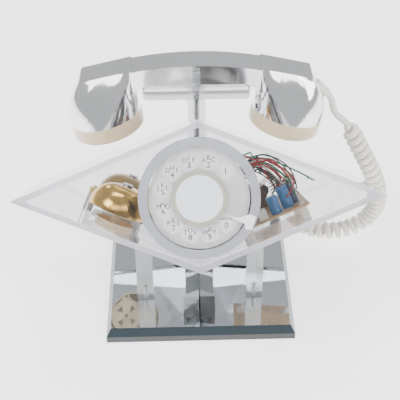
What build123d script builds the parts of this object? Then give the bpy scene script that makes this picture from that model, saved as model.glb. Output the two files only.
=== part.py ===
"""Clear acrylic desk telephone with a diamond-shaped body, in millimetres.

+Z is up, -Y is the side the dial faces, and +X is to the right of someone using it.
The origin is the centre of the base's underside.
"""
import os
from math import atan2, cos, degrees, pi, radians, sin

from build123d import *

os.makedirs("parts", exist_ok=True)

# ---------------------------------------------------------------- driving dimensions
# base: a black slab under a bevelled mirror plate
BASE_WIDTH = 164.0
BASE_DEPTH = 160.0
SLAB_HEIGHT = 6.5
MIRROR_HEIGHT = 7.3
BEVEL_RUN = 3.9

# body: a diamond prism of four clear sheets, leaning back
BODY_WIDTH = 292.0
BODY_HEIGHT = 118.0
BODY_DEPTH = 157.0
BODY_LEAN = 33.4
SHEET = 4.5
PANEL = 3.0
PANEL_RECESS = 3.0
REAR_RIDGE_Y = 18.3
REAR_RIDGE_RISE = 12.6

# supports under the body
POST_SIZE = 14.2
POST_X = 48.0
POST_Y = -36.0
BLOCK_WIDTH = 26.0
BLOCK_DEPTH = 18.0
BLOCK_SETBACK = 4.0

# cradle and column, which lean back a little
CRADLE_Y = 38.6
CRADLE_TOP_Z = 192.2
CRADLE_LEAN = 6.5
COLUMN_WIDTH = 15.2
COLUMN_DEPTH = 15.2
COLUMN_LENGTH = 78.0
BAR_LENGTH = 89.0
HANDLE_GAP = 0.7
BAR_HEIGHT = 8.3
PRONG_WIDTH = 6.5
PRONG_DEPTH = 4.7
PRONG_HEIGHT = 16.5
PLUNGER_RADIUS = 2.4

# handset
HANDLE_WIDTH = 29.2
HANDLE_HEIGHT = 19.7
HANDLE_ARC_RADIUS = 300.0
HANDLE_SHOULDER = 96.5
ARCH_HALF_WIDTH = 49.0
ARCH_CORNER = 4.0
CUP_X = 77.7
CUP_DROP = 29.4
CUP_TILT = 12.8
CUP_RADIUS = 31.2
CAP_HEIGHT = 14.0
CAP_WALL = 2.6
CAPSULE_RADIUS = 26.0

# dial
RING_RADIUS = 47.0
RING_BORE = 39.8
RING_HEIGHT = 8.0
WHEEL_RADIUS = 38.6
WHEEL_HEIGHT = 2.2
FINGER_HOLES = 10
FINGER_HOLE_RADIUS = 6.5
FINGER_CIRCLE = 28.9
FIRST_HOLE_ANGLE = 45.0
CARD_RADIUS = 18.3
CARD_RING_RADIUS = 21.3
CASE_RADIUS = 39.0
CASE_DEPTH = 26.0
SHAFT_RADIUS = 3.0

# ringer
GONG_RADIUS = 25.0
GONG_HEIGHT = 21.0
GONG_WALL = 1.2
GONG_SPACING = 80.0
GONG_LIFT = 14.4
RINGER_ALONG = 75.4
RINGER_DEPTH = 73.0

# network board
BOARD_WIDTH = 59.0
BOARD_LENGTH = 105.0
BOARD_THICKNESS = 1.6
BOARD_LIFT = 10.0
BOARD_ALONG = 68.5
BOARD_DEPTH = 69.5

# handset cord
CORD_RADIUS = 2.7
COIL_RADIUS = 8.5

# clearances
GLUE_GAP = 0.05
RUNNING_GAP = 0.5
MOVING_GAP = 0.4

# ---------------------------------------------------------------- derived frames
lean = radians(BODY_LEAN)
slope = atan2(BODY_HEIGHT, BODY_WIDTH)
mirror_top = SLAB_HEIGHT + MIRROR_HEIGHT

face_up = Vector(0, sin(lean), cos(lean))
into_body = Vector(0, cos(lean), -sin(lean))
rear_ridge = Vector(0, REAR_RIDGE_Y, mirror_top + REAR_RIDGE_RISE)
face_centre = rear_ridge + face_up * (BODY_HEIGHT / 2) - into_body * BODY_DEPTH
FACE = Plane(origin=face_centre, x_dir=(1, 0, 0), z_dir=-into_body)

bar_depth = HANDLE_WIDTH + 2 * (PRONG_DEPTH + HANDLE_GAP)
half_width = BODY_WIDTH / 2
half_height = BODY_HEIGHT / 2
inner_half_width = half_width - SHEET / sin(slope)
inner_half_height = half_height - SHEET / cos(slope)

cradle_lean = radians(CRADLE_LEAN)
CRADLE = Plane(
    origin=(0, CRADLE_Y, CRADLE_TOP_Z),
    x_dir=(1, 0, 0),
    z_dir=(0, sin(cradle_lean), cos(cradle_lean)),
)


def save(piece, name):
    """Label one finished piece and write it as its own file."""
    piece.part.label = name
    export_step(piece.part, f"parts/{name}.step")


def side_view(plane):
    """The plane that stands on another's X axis, with the other's normal as its own Y."""
    return Plane(origin=plane.origin, x_dir=plane.x_dir, z_dir=-plane.y_dir)


def moved(plane, x=0.0, y=0.0, z=0.0):
    """A plane parallel to another, at a point given in the other's own axes."""
    return Plane(
        origin=plane.from_local_coords((x, y, z)), x_dir=plane.x_dir, z_dir=plane.z_dir
    )


def on_lower_sheet(side, along, depth):
    """A plane on a lower sheet's inside: X into the body, Z off the sheet. side is -1 or 1."""
    origin = FACE.from_local_coords(
        (side * along * cos(slope), along * sin(slope) - inner_half_height, -depth)
    )
    normal = FACE.x_dir * (-side * sin(slope)) + FACE.y_dir * cos(slope)
    return Plane(origin=origin, x_dir=into_body, z_dir=normal)


def disc(plane, radius, height, bore=0.0):
    """A round piece standing on a plane, with an optional bore."""
    with BuildPart() as piece:
        with BuildSketch(plane):
            Circle(radius)
            if bore:
                Circle(bore, mode=Mode.SUBTRACT)
        extrude(amount=height)
    return piece


# ---------------------------------------------------------------- base
block_y = REAR_RIDGE_Y - BLOCK_SETBACK - BLOCK_DEPTH / 2
screw_places = [(-POST_X, POST_Y), (POST_X, POST_Y), (0, block_y)]
SCREW_RADIUS = 2.0
SCREW_HEAD_RADIUS = 4.0
SCREW_HEAD_HEIGHT = 3.0
SCREW_REACH = 14.0
screw_hole_radius = SCREW_RADIUS + GLUE_GAP

with BuildPart() as screw_holes:
    with BuildSketch():
        with Locations(*screw_places):
            Circle(SCREW_HEAD_RADIUS + RUNNING_GAP)
    extrude(amount=SCREW_HEAD_HEIGHT + RUNNING_GAP)
    with BuildSketch():
        with Locations(*screw_places):
            Circle(screw_hole_radius)
    extrude(amount=mirror_top + SCREW_REACH + RUNNING_GAP)

with BuildPart() as base_slab:
    with BuildSketch():
        Rectangle(BASE_WIDTH, BASE_DEPTH)
    extrude(amount=SLAB_HEIGHT)
    add(screw_holes.part, mode=Mode.SUBTRACT)
save(base_slab, "base_slab")

bevel_angle = degrees(atan2(BEVEL_RUN, MIRROR_HEIGHT))
with BuildPart() as mirror_plate:
    with BuildSketch(Plane.XY.offset(SLAB_HEIGHT)):
        Rectangle(BASE_WIDTH, BASE_DEPTH)
    extrude(amount=MIRROR_HEIGHT, taper=bevel_angle)
    add(screw_holes.part, mode=Mode.SUBTRACT)
save(mirror_plate, "mirror_plate")

with BuildPart() as base_screws:
    for x, y in screw_places:
        with BuildSketch(Plane.XY.offset(RUNNING_GAP)):
            with Locations((x, y)):
                Circle(SCREW_HEAD_RADIUS)
        extrude(amount=SCREW_HEAD_HEIGHT)
        with BuildSketch(Plane.XY.offset(RUNNING_GAP + SCREW_HEAD_HEIGHT / 2)):
            with Locations((x, y)):
                Circle(SCREW_RADIUS)
        extrude(amount=mirror_top + SCREW_REACH - SCREW_HEAD_HEIGHT / 2)
save(base_screws, "base_screws")


# ---------------------------------------------------------------- body of clear sheets
with BuildPart() as body_envelope:
    with BuildSketch(FACE):
        with BuildLine():
            Polyline(
                (half_width, 0), (0, half_height), (-half_width, 0), (0, -half_height), close=True
            )
        make_face()
    extrude(amount=-BODY_DEPTH)

with BuildPart() as column_envelope:
    with BuildSketch(CRADLE):
        Rectangle(COLUMN_WIDTH + 2 * GLUE_GAP, COLUMN_DEPTH + 2 * GLUE_GAP)
    extrude(amount=-COLUMN_LENGTH)

# where one sheet's end is cut flush with its neighbour's outer face
butt_x = (half_height + inner_half_height) / (2 * half_height / half_width)
butt_y = (half_height - inner_half_height) / 2
long_sheet = [(0, half_height), (half_width, 0), (butt_x, -butt_y), (0, inner_half_height)]
short_sheet = [(0, -half_height), (butt_x, -butt_y), (inner_half_width, 0), (0, -inner_half_height)]


def clear_sheet(corners, turned):
    """One sheet of the diamond. turned gives the one opposite, half a turn round the axis."""
    sign = -1 if turned else 1
    with BuildPart() as sheet:
        with BuildSketch(FACE):
            with BuildLine():
                Polyline(*[(sign * x, sign * y) for x, y in corners], close=True)
            make_face()
        extrude(amount=-BODY_DEPTH)
        add(column_envelope.part, mode=Mode.SUBTRACT)
    return sheet


save(clear_sheet(long_sheet, False), "sheet_upper_right")
save(clear_sheet(short_sheet, False), "sheet_lower_right")
save(clear_sheet(long_sheet, True), "sheet_lower_left")
save(clear_sheet(short_sheet, True), "sheet_upper_left")

panel_inset = 1 - GLUE_GAP / inner_half_height
with BuildPart() as front_panel:
    with BuildSketch(FACE.offset(-PANEL_RECESS)):
        with BuildLine():
            Polyline(
                (inner_half_width * panel_inset, 0),
                (0, inner_half_height * panel_inset),
                (-inner_half_width * panel_inset, 0),
                (0, -inner_half_height * panel_inset),
                close=True,
            )
        make_face()
        Circle(CASE_RADIUS + GLUE_GAP, mode=Mode.SUBTRACT)
    extrude(amount=-PANEL)
save(front_panel, "front_panel")

GROMMET_X = 60.0
GROMMET_Y = -12.0
GROMMET_HOLE = 4.5
JACK_X = -52.0
JACK_Y = -12.0
JACK_SIZE = 16.0
with BuildPart() as back_panel:
    with BuildSketch(moved(FACE, z=PANEL - BODY_DEPTH)):
        with BuildLine():
            Polyline(
                (inner_half_width * panel_inset, 0),
                (0, inner_half_height * panel_inset),
                (-inner_half_width * panel_inset, 0),
                (0, -inner_half_height * panel_inset),
                close=True,
            )
        make_face()
        with Locations((GROMMET_X, GROMMET_Y)):
            Circle(GROMMET_HOLE, mode=Mode.SUBTRACT)
        with Locations((JACK_X, JACK_Y)):
            Rectangle(JACK_SIZE, JACK_SIZE, mode=Mode.SUBTRACT)
    extrude(amount=-PANEL)
save(back_panel, "back_panel")

GROMMET_FLANGE = 1.5
GROMMET_LENGTH = 9.0
with BuildPart() as cord_grommet:
    with BuildSketch(moved(FACE, GROMMET_X, GROMMET_Y, PANEL - BODY_DEPTH)):
        Circle(GROMMET_HOLE - GLUE_GAP)
    extrude(amount=-PANEL)
    with BuildSketch(moved(FACE, GROMMET_X, GROMMET_Y, -BODY_DEPTH)):
        Circle(GROMMET_HOLE + GROMMET_FLANGE)
    extrude(amount=-GROMMET_FLANGE)
    with BuildSketch(moved(FACE, GROMMET_X, GROMMET_Y, -BODY_DEPTH - GROMMET_FLANGE)):
        Circle(GROMMET_HOLE)
    extrude(amount=GROMMET_FLANGE - GROMMET_LENGTH, taper=8)
save(cord_grommet, "cord_grommet")

JACK_DEPTH = 12.0
JACK_SOCKET_WIDTH = 10.0
JACK_SOCKET_HEIGHT = 8.0
jack_fit = JACK_SIZE - 2 * GLUE_GAP
with BuildPart() as line_jack:
    with BuildSketch(moved(FACE, JACK_X, JACK_Y, -BODY_DEPTH)):
        Rectangle(jack_fit, jack_fit)
    extrude(amount=JACK_DEPTH)
    with BuildSketch(moved(FACE, JACK_X, JACK_Y, -BODY_DEPTH)):
        Rectangle(JACK_SOCKET_WIDTH, JACK_SOCKET_HEIGHT)
    extrude(amount=JACK_DEPTH - PANEL, mode=Mode.SUBTRACT)
save(line_jack, "line_jack")


# ---------------------------------------------------------------- supports
def support(width, depth, x, y, reach):
    """A clear upright on the mirror, cut off where it meets the body's underside."""
    with BuildPart() as upright:
        with BuildSketch(Plane.XY.offset(mirror_top)):
            with Locations((x, y)):
                Rectangle(width, depth)
        extrude(amount=reach)
        add(body_envelope.part, mode=Mode.SUBTRACT)
        add(screw_holes.part, mode=Mode.SUBTRACT)
    return upright


front_ridge = face_centre - face_up * half_height
ridge_fall = (front_ridge.Z - rear_ridge.Z) / (rear_ridge.Y - front_ridge.Y)
post_ridge_height = rear_ridge.Z + (rear_ridge.Y - POST_Y) * ridge_fall - mirror_top
post_reach = post_ridge_height + (POST_X + POST_SIZE) * BODY_HEIGHT / BODY_WIDTH / cos(lean)
save(support(POST_SIZE, POST_SIZE, -POST_X, POST_Y, post_reach), "post_left")
save(support(POST_SIZE, POST_SIZE, POST_X, POST_Y, post_reach), "post_right")

block_reach = REAR_RIDGE_RISE + (BLOCK_SETBACK + BLOCK_DEPTH) * ridge_fall + 2 * SHEET
save(support(BLOCK_WIDTH, BLOCK_DEPTH, 0, block_y, block_reach), "rear_block")

# ---------------------------------------------------------------- cradle
PLUNGER_TRAVEL = 4.0
COLLAR_POCKET_RADIUS = 4.6
COLLAR_POCKET_DEPTH = 2 * PLUNGER_TRAVEL
plunger_bore = PLUNGER_RADIUS + MOVING_GAP
with BuildPart() as column:
    with BuildSketch(moved(CRADLE, z=-BAR_HEIGHT)):
        Rectangle(COLUMN_WIDTH, COLUMN_DEPTH)
        Circle(plunger_bore, mode=Mode.SUBTRACT)
    extrude(amount=BAR_HEIGHT - COLUMN_LENGTH)
    with BuildSketch(moved(CRADLE, z=-COLUMN_LENGTH)):
        Circle(COLLAR_POCKET_RADIUS)
    extrude(amount=COLLAR_POCKET_DEPTH, mode=Mode.SUBTRACT)
save(column, "column")

BAR_CORNER = 4.0
BAR_EDGE = 1.2
with BuildPart() as cradle_bar:
    with BuildSketch(CRADLE):
        RectangleRounded(BAR_LENGTH, bar_depth, BAR_CORNER)
        Circle(plunger_bore, mode=Mode.SUBTRACT)
    extrude(amount=-BAR_HEIGHT)
    underside = cradle_bar.faces().sort_by(Axis(CRADLE.origin, CRADLE.z_dir))[0]
    fillet(underside.outer_wire().edges(), BAR_EDGE)
save(cradle_bar, "cradle_bar")


prong_y = (bar_depth - PRONG_DEPTH) / 2
with BuildPart() as cradle_prongs:
    with BuildSketch(CRADLE):
        with Locations((0, -prong_y), (0, prong_y)):
            Rectangle(PRONG_WIDTH, PRONG_DEPTH)
    extrude(amount=PRONG_HEIGHT)
    for end in cradle_prongs.faces().sort_by(Axis(CRADLE.origin, CRADLE.z_dir))[-2:]:
        fillet(end.edges(), BAR_EDGE)
save(cradle_prongs, "cradle_prongs")

PLUNGER_COLLAR = 4.2
PLUNGER_COLLAR_HEIGHT = 2.0
PLUNGER_TAIL = 8.0
plunger_foot = -COLUMN_LENGTH - PLUNGER_TAIL
with BuildPart() as hook_plunger:
    with BuildSketch(moved(CRADLE, z=plunger_foot)):
        Circle(PLUNGER_RADIUS)
    extrude(amount=-plunger_foot - MOVING_GAP)
    with BuildSketch(moved(CRADLE, z=-COLUMN_LENGTH - PLUNGER_COLLAR_HEIGHT)):
        Circle(PLUNGER_COLLAR)
    extrude(amount=PLUNGER_COLLAR_HEIGHT)
save(hook_plunger, "hook_plunger")

SWITCH_WIDTH = 30.0
SWITCH_DEPTH = 14.0
SWITCH_HEIGHT = 16.0
SWITCH_DROP = 1.0
SWITCH_ARM = 3.0
switch_top = plunger_foot - SWITCH_DROP
with BuildPart() as hook_switch:
    with BuildSketch(moved(CRADLE, z=switch_top)):
        Rectangle(SWITCH_WIDTH, SWITCH_DEPTH)
    extrude(amount=-SWITCH_HEIGHT)
    with BuildSketch(moved(CRADLE, z=switch_top)):
        with Locations((-(SWITCH_WIDTH - SWITCH_ARM) / 2, 0), ((SWITCH_WIDTH - SWITCH_ARM) / 2, 0)):
            Rectangle(SWITCH_ARM, SWITCH_DEPTH)
    extrude(amount=-switch_top - COLUMN_LENGTH)
    with BuildSketch(moved(CRADLE, z=-COLUMN_LENGTH)):
        Rectangle(SWITCH_WIDTH, SWITCH_DEPTH)
        Rectangle(COLUMN_WIDTH + 2 * GLUE_GAP, SWITCH_DEPTH, mode=Mode.SUBTRACT)
    extrude(amount=SWITCH_ARM)
save(hook_switch, "hook_switch")

SPRING_WIRE = 0.6
spring_radius = PLUNGER_RADIUS + MOVING_GAP + SPRING_WIRE
collar_foot = -COLUMN_LENGTH - PLUNGER_COLLAR_HEIGHT
plunger_spring = disc(
    moved(CRADLE, z=switch_top + GLUE_GAP),
    spring_radius + SPRING_WIRE,
    collar_foot - switch_top - 2 * GLUE_GAP,
    bore=spring_radius,
)
save(plunger_spring, "plunger_spring")


# ---------------------------------------------------------------- handset
def cup_plane(side, rise=0.0):
    """The plane of an earpiece or mouthpiece seam, facing up into the handset."""
    tilt = radians(CUP_TILT)
    normal = CRADLE.x_dir * (side * sin(tilt)) + CRADLE.z_dir * cos(tilt)
    origin = CRADLE.from_local_coords((side * CUP_X, 0, -CUP_DROP)) + normal * rise
    return Plane(origin=origin, x_dir=CRADLE.y_dir, z_dir=normal)


# sections of a cup, from its seam up to the handle's flat top: rise, width, length, corner, shift
CUP_SECTIONS = [
    (18.0, 50.0, 58.0, 18.0, 2.6),
    (39.2, HANDLE_WIDTH, 44.0, 1.5, 11.2),
]

shoulder_z = HANDLE_HEIGHT - HANDLE_ARC_RADIUS
shoulder_z += (HANDLE_ARC_RADIUS**2 - HANDLE_SHOULDER**2) ** 0.5
ARCH_FOOT = 20.0
with BuildPart() as handset_shell:
    with BuildSketch(side_view(CRADLE)) as handle_outline:
        with BuildLine():
            ThreePointArc((-HANDLE_SHOULDER, shoulder_z), (0, HANDLE_HEIGHT), (HANDLE_SHOULDER, shoulder_z))
            Polyline(
                (HANDLE_SHOULDER, shoulder_z),
                (HANDLE_SHOULDER - ARCH_FOOT / 2, -ARCH_FOOT),
                (ARCH_HALF_WIDTH, -ARCH_FOOT),
                (ARCH_HALF_WIDTH, GLUE_GAP),
                (-ARCH_HALF_WIDTH, GLUE_GAP),
                (-ARCH_HALF_WIDTH, -ARCH_FOOT),
                (ARCH_FOOT / 2 - HANDLE_SHOULDER, -ARCH_FOOT),
                (-HANDLE_SHOULDER, shoulder_z),
            )
        make_face()
        arch_corners = handle_outline.vertices().filter_by_position(
            Axis.X, -ARCH_HALF_WIDTH - 1, ARCH_HALF_WIDTH + 1
        ).sort_by(Axis.Y)[-2:]
        fillet(arch_corners, ARCH_CORNER)
    extrude(amount=HANDLE_WIDTH / 2, both=True)
    for side in (-1, 1):
        with BuildSketch(cup_plane(side)):
            Circle(CUP_RADIUS)
        for rise, width, length, corner, shift in CUP_SECTIONS:
            with BuildSketch(cup_plane(side, rise)):
                with Locations((0, side * shift)):
                    RectangleRounded(width, length, corner)
        loft()
save(handset_shell, "handset_shell")

CAP_FILLET = 1.5
CAP_HOLE_RADIUS = 1.4
CAP_HOLE_RINGS = ((6, 6.0), (12, 12.0))


def handset_cap(side):
    """The cream cap over one end, with a ring pattern of sound holes."""
    seam = cup_plane(side)
    with BuildPart() as cap:
        with BuildSketch(seam):
            Circle(CUP_RADIUS)
        extrude(amount=-CAP_HEIGHT, taper=3)
        lowest = cap.faces().sort_by(Axis(seam.origin, seam.z_dir))[0]
        fillet(lowest.edges(), CAP_FILLET)
        with BuildSketch(seam):
            Circle(CUP_RADIUS - CAP_WALL)
        extrude(amount=CAP_WALL - CAP_HEIGHT, mode=Mode.SUBTRACT)
        with BuildSketch(moved(seam, z=-CAP_HEIGHT)):
            Circle(CAP_HOLE_RADIUS)
            for count, radius in CAP_HOLE_RINGS:
                with PolarLocations(radius, count):
                    Circle(CAP_HOLE_RADIUS)
        extrude(amount=2 * CAP_WALL, mode=Mode.SUBTRACT)
    return cap


save(handset_cap(-1), "receiver_cap")
save(handset_cap(1), "mouthpiece_cap")

CAPSULE_HEIGHT = CAP_HEIGHT - CAP_WALL - 1.0
CAPSULE_NECK = 8.0


with BuildPart() as handset_capsules:
    for side in (-1, 1):
        seam = cup_plane(side)
        with BuildSketch(seam):
            Circle(CAPSULE_RADIUS)
        extrude(amount=-CAPSULE_HEIGHT)
        with BuildSketch(moved(seam, z=-CAPSULE_HEIGHT)):
            Circle(CAPSULE_RADIUS - CAPSULE_NECK)
        extrude(amount=CAPSULE_HEIGHT / 3, mode=Mode.SUBTRACT)
save(handset_capsules, "handset_capsules")

# the cord's exit at the mouthpiece end
EXIT_X = 110.5
EXIT_DROP = 14.5
EXIT_FALL = 44.0
GLAND_RADIUS = 3.9
GLAND_LENGTH = 14.0
exit_direction = Vector(cos(radians(EXIT_FALL)), 0, -sin(radians(EXIT_FALL)))
exit_point = CRADLE.from_local_coords((EXIT_X, 0, -EXIT_DROP))
with BuildPart() as cord_gland:
    with BuildSketch(Plane(origin=exit_point, x_dir=(0, 1, 0), z_dir=-exit_direction)):
        Circle(GLAND_RADIUS)
    extrude(amount=GLAND_LENGTH, taper=-4)
    add(handset_shell.part, mode=Mode.SUBTRACT)
save(cord_gland, "cord_gland")


# ---------------------------------------------------------------- dial
DIAL = moved(FACE, z=-PANEL_RECESS)
PLATE_HEIGHT = 1.2
PLATE_BASE = 2.2
WHEEL_BASE = 4.8
CARD_HEIGHT = 0.6
CARD_RING_HEIGHT = 1.0
STOP_HEIGHT = 1.4
RING_EDGE = 0.6
wheel_top = WHEEL_BASE + WHEEL_HEIGHT

with BuildPart() as dial_ring:
    with BuildSketch(DIAL):
        Circle(RING_RADIUS)
        Circle(RING_BORE, mode=Mode.SUBTRACT)
    extrude(amount=RING_HEIGHT)
    ring_top = dial_ring.faces().sort_by(Axis(DIAL.origin, DIAL.z_dir))[-1]
    chamfer(ring_top.edges(), RING_EDGE)
save(dial_ring, "dial_ring")

case_top = PLATE_BASE
with BuildPart() as dial_case:
    with BuildSketch(moved(DIAL, z=case_top - CASE_DEPTH)):
        Circle(CASE_RADIUS)
    extrude(amount=CASE_DEPTH)
    with BuildSketch(moved(DIAL, z=case_top - CASE_DEPTH + GONG_WALL)):
        Circle(CASE_RADIUS - GONG_WALL)
    extrude(amount=CASE_DEPTH, mode=Mode.SUBTRACT)
    with BuildSketch(moved(DIAL, z=case_top - CASE_DEPTH)):
        Circle(SHAFT_RADIUS + RUNNING_GAP)
    extrude(amount=CASE_DEPTH, mode=Mode.SUBTRACT)
save(dial_case, "dial_case")

number_plate = disc(
    moved(DIAL, z=PLATE_BASE), CASE_RADIUS, PLATE_HEIGHT, bore=SHAFT_RADIUS + RUNNING_GAP
)
save(number_plate, "number_plate")

hole_step = 360.0 / 12
FINGER_EDGE = 0.5
with BuildPart() as finger_wheel:
    with BuildSketch(moved(DIAL, z=WHEEL_BASE)):
        Circle(WHEEL_RADIUS)
        Circle(SHAFT_RADIUS, mode=Mode.SUBTRACT)
        with PolarLocations(
            FINGER_CIRCLE, FINGER_HOLES, FIRST_HOLE_ANGLE, hole_step * FINGER_HOLES, endpoint=False
        ):
            Circle(FINGER_HOLE_RADIUS, mode=Mode.SUBTRACT)
    extrude(amount=WHEEL_HEIGHT)
    wheel_face = finger_wheel.faces().sort_by(Axis(DIAL.origin, DIAL.z_dir))[-1]
    fillet(wheel_face.outer_wire().edges(), FINGER_EDGE)
save(finger_wheel, "finger_wheel")

dial_card = disc(moved(DIAL, z=wheel_top), CARD_RADIUS, CARD_HEIGHT)
save(dial_card, "dial_card")
card_ring = disc(
    moved(DIAL, z=wheel_top), CARD_RING_RADIUS, CARD_RING_HEIGHT, bore=CARD_RADIUS + GLUE_GAP
)
save(card_ring, "card_ring")

STOP_OUTLINE = (
    (21.4, -13.4),
    (30.2, -14.9),
    (38.6, -12.4),
    (43.0, -14.6),
    (39.6, -24.4),
    (35.2, -24.0),
    (33.9, -19.4),
    (28.3, -17.2),
)
STOP_CORNER = 0.7
with BuildPart() as finger_stop:
    with BuildSketch(moved(DIAL, z=RING_HEIGHT)) as stop_outline:
        with BuildLine():
            Polyline(*STOP_OUTLINE, close=True)
        make_face()
        fillet(stop_outline.vertices(), STOP_CORNER)
    extrude(amount=STOP_HEIGHT)
save(finger_stop, "finger_stop")

# wheelwork behind the number plate, measured back from the panel's front
MAIN_TEETH = 50
MAIN_MODULE = 0.8
PINION_TEETH = 10
SECOND_TEETH = 30
SECOND_MODULE = 0.6
GEAR_SLACK = 0.1
GEAR_FACE = 2.0
MAIN_GEAR_BASE = -7.0
SECOND_GEAR_BASE = -12.0
BRIDGE_BASE = -20.0
BRIDGE_HEIGHT = 1.2
BRIDGE_RADIUS = 35.0
AXLE_RADIUS = 1.2
idler_distance = MAIN_MODULE * (MAIN_TEETH + PINION_TEETH) / 2 + GEAR_SLACK
governor_distance = SECOND_MODULE * (SECOND_TEETH + PINION_TEETH) / 2 + GEAR_SLACK
IDLER_ANGLE = 90.0
GOVERNOR_ANGLE = -20.0
idler_place = (
    idler_distance * cos(radians(IDLER_ANGLE)),
    idler_distance * sin(radians(IDLER_ANGLE)),
)
governor_place = (
    idler_place[0] + governor_distance * cos(radians(GOVERNOR_ANGLE)),
    idler_place[1] + governor_distance * sin(radians(GOVERNOR_ANGLE)),
)


def gear_points(module, teeth, start):
    """The outline of a spur gear with straight-sided teeth, one tooth centred at start degrees."""
    pitch_radius = module * teeth / 2
    root = pitch_radius - 1.2 * module
    tip = pitch_radius + 0.85 * module
    pitch_angle = 360.0 / teeth
    corners = (
        (root, -0.32), (pitch_radius, -0.2), (tip, -0.1), (tip, 0.1), (pitch_radius, 0.2), (root, 0.32)
    )
    points = []
    for tooth in range(teeth):
        for radius, share in corners:
            angle = radians(start + (tooth + share) * pitch_angle)
            points.append((radius * cos(angle), radius * sin(angle)))
    return points


with BuildPart() as dial_shaft:
    with BuildSketch(moved(DIAL, z=BRIDGE_BASE - 1)):
        Circle(SHAFT_RADIUS)
    extrude(amount=wheel_top - BRIDGE_BASE + 1)
save(dial_shaft, "dial_shaft")

with BuildPart() as main_gear:
    with BuildSketch(moved(DIAL, z=MAIN_GEAR_BASE)):
        with BuildLine():
            Polyline(*gear_points(MAIN_MODULE, MAIN_TEETH, IDLER_ANGLE), close=True)
        make_face()
        Circle(SHAFT_RADIUS, mode=Mode.SUBTRACT)
        with PolarLocations(MAIN_MODULE * MAIN_TEETH / 3.5, 5):
            Circle(MAIN_MODULE * 4, mode=Mode.SUBTRACT)
    extrude(amount=GEAR_FACE)
save(main_gear, "main_gear")

half_pinion_pitch = 180.0 / PINION_TEETH
with BuildPart() as pulse_gear:
    idler_level = moved(DIAL, idler_place[0], idler_place[1], MAIN_GEAR_BASE - RUNNING_GAP)
    with BuildSketch(idler_level):
        with BuildLine():
            Polyline(
                *gear_points(MAIN_MODULE, PINION_TEETH, IDLER_ANGLE + 180 + half_pinion_pitch),
                close=True,
            )
        make_face()
    extrude(amount=GEAR_FACE + 2 * RUNNING_GAP)
    with BuildSketch(moved(DIAL, idler_place[0], idler_place[1], SECOND_GEAR_BASE)):
        with BuildLine():
            Polyline(*gear_points(SECOND_MODULE, SECOND_TEETH, GOVERNOR_ANGLE), close=True)
        make_face()
    extrude(amount=GEAR_FACE)
    with BuildSketch(moved(DIAL, idler_place[0], idler_place[1], BRIDGE_BASE)):
        Circle(AXLE_RADIUS)
    extrude(amount=-BRIDGE_BASE)
save(pulse_gear, "pulse_gear")

WEIGHT_RADIUS = 5.6
WEIGHT_HEIGHT = 3.0
with BuildPart() as governor:
    with BuildSketch(moved(DIAL, governor_place[0], governor_place[1], SECOND_GEAR_BASE - RUNNING_GAP)):
        with BuildLine():
            Polyline(
                *gear_points(SECOND_MODULE, PINION_TEETH, GOVERNOR_ANGLE + 180 + half_pinion_pitch),
                close=True,
            )
        make_face()
    extrude(amount=GEAR_FACE + 2 * RUNNING_GAP)
    with BuildSketch(moved(DIAL, governor_place[0], governor_place[1], BRIDGE_BASE)):
        Circle(AXLE_RADIUS)
    extrude(amount=SECOND_GEAR_BASE - BRIDGE_BASE + 2 * GEAR_FACE)
    with BuildSketch(
        moved(DIAL, governor_place[0], governor_place[1], BRIDGE_BASE + BRIDGE_HEIGHT + 2 * RUNNING_GAP)
    ):
        Circle(WEIGHT_RADIUS)
        Rectangle(2 * WEIGHT_RADIUS, AXLE_RADIUS, mode=Mode.SUBTRACT)
        Circle(2 * AXLE_RADIUS)
    extrude(amount=WEIGHT_HEIGHT)
save(governor, "governor")

axle_bore = AXLE_RADIUS + 0.05
with BuildPart() as dial_bridge:
    with BuildSketch(moved(DIAL, z=BRIDGE_BASE)):
        Circle(BRIDGE_RADIUS)
        Circle(SHAFT_RADIUS + 0.05, mode=Mode.SUBTRACT)
        with Locations(idler_place, governor_place):
            Circle(axle_bore, mode=Mode.SUBTRACT)
    extrude(amount=BRIDGE_HEIGHT)
    with BuildSketch(moved(DIAL, z=BRIDGE_BASE)):
        with PolarLocations(BRIDGE_RADIUS - 2 * SHAFT_RADIUS, 3, 15):
            Circle(SHAFT_RADIUS)
    extrude(amount=case_top - CASE_DEPTH + GONG_WALL - BRIDGE_BASE)
save(dial_bridge, "dial_bridge")

SPRING_TURNS = 5
SPRING_PITCH = 1.4
SPRING_STRIP = 0.5
SPRING_BASE = -3.2
SPRING_HEIGHT = 3.0
first_turn = SHAFT_RADIUS + 1.5
with BuildPart() as return_spring:
    with BuildSketch(moved(DIAL, z=SPRING_BASE)):
        with BuildLine():
            for turn in range(SPRING_TURNS):
                inner = first_turn + turn * SPRING_PITCH
                middle = inner + SPRING_PITCH / 2
                outer = inner + SPRING_PITCH
                ThreePointArc((inner, 0), ((inner - middle) / 2, (inner + middle) / 2), (-middle, 0))
                ThreePointArc((-middle, 0), ((outer - middle) / 2, -(outer + middle) / 2), (outer, 0))
        trace(line_width=SPRING_STRIP)
    extrude(amount=SPRING_HEIGHT)
save(return_spring, "return_spring")

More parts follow.
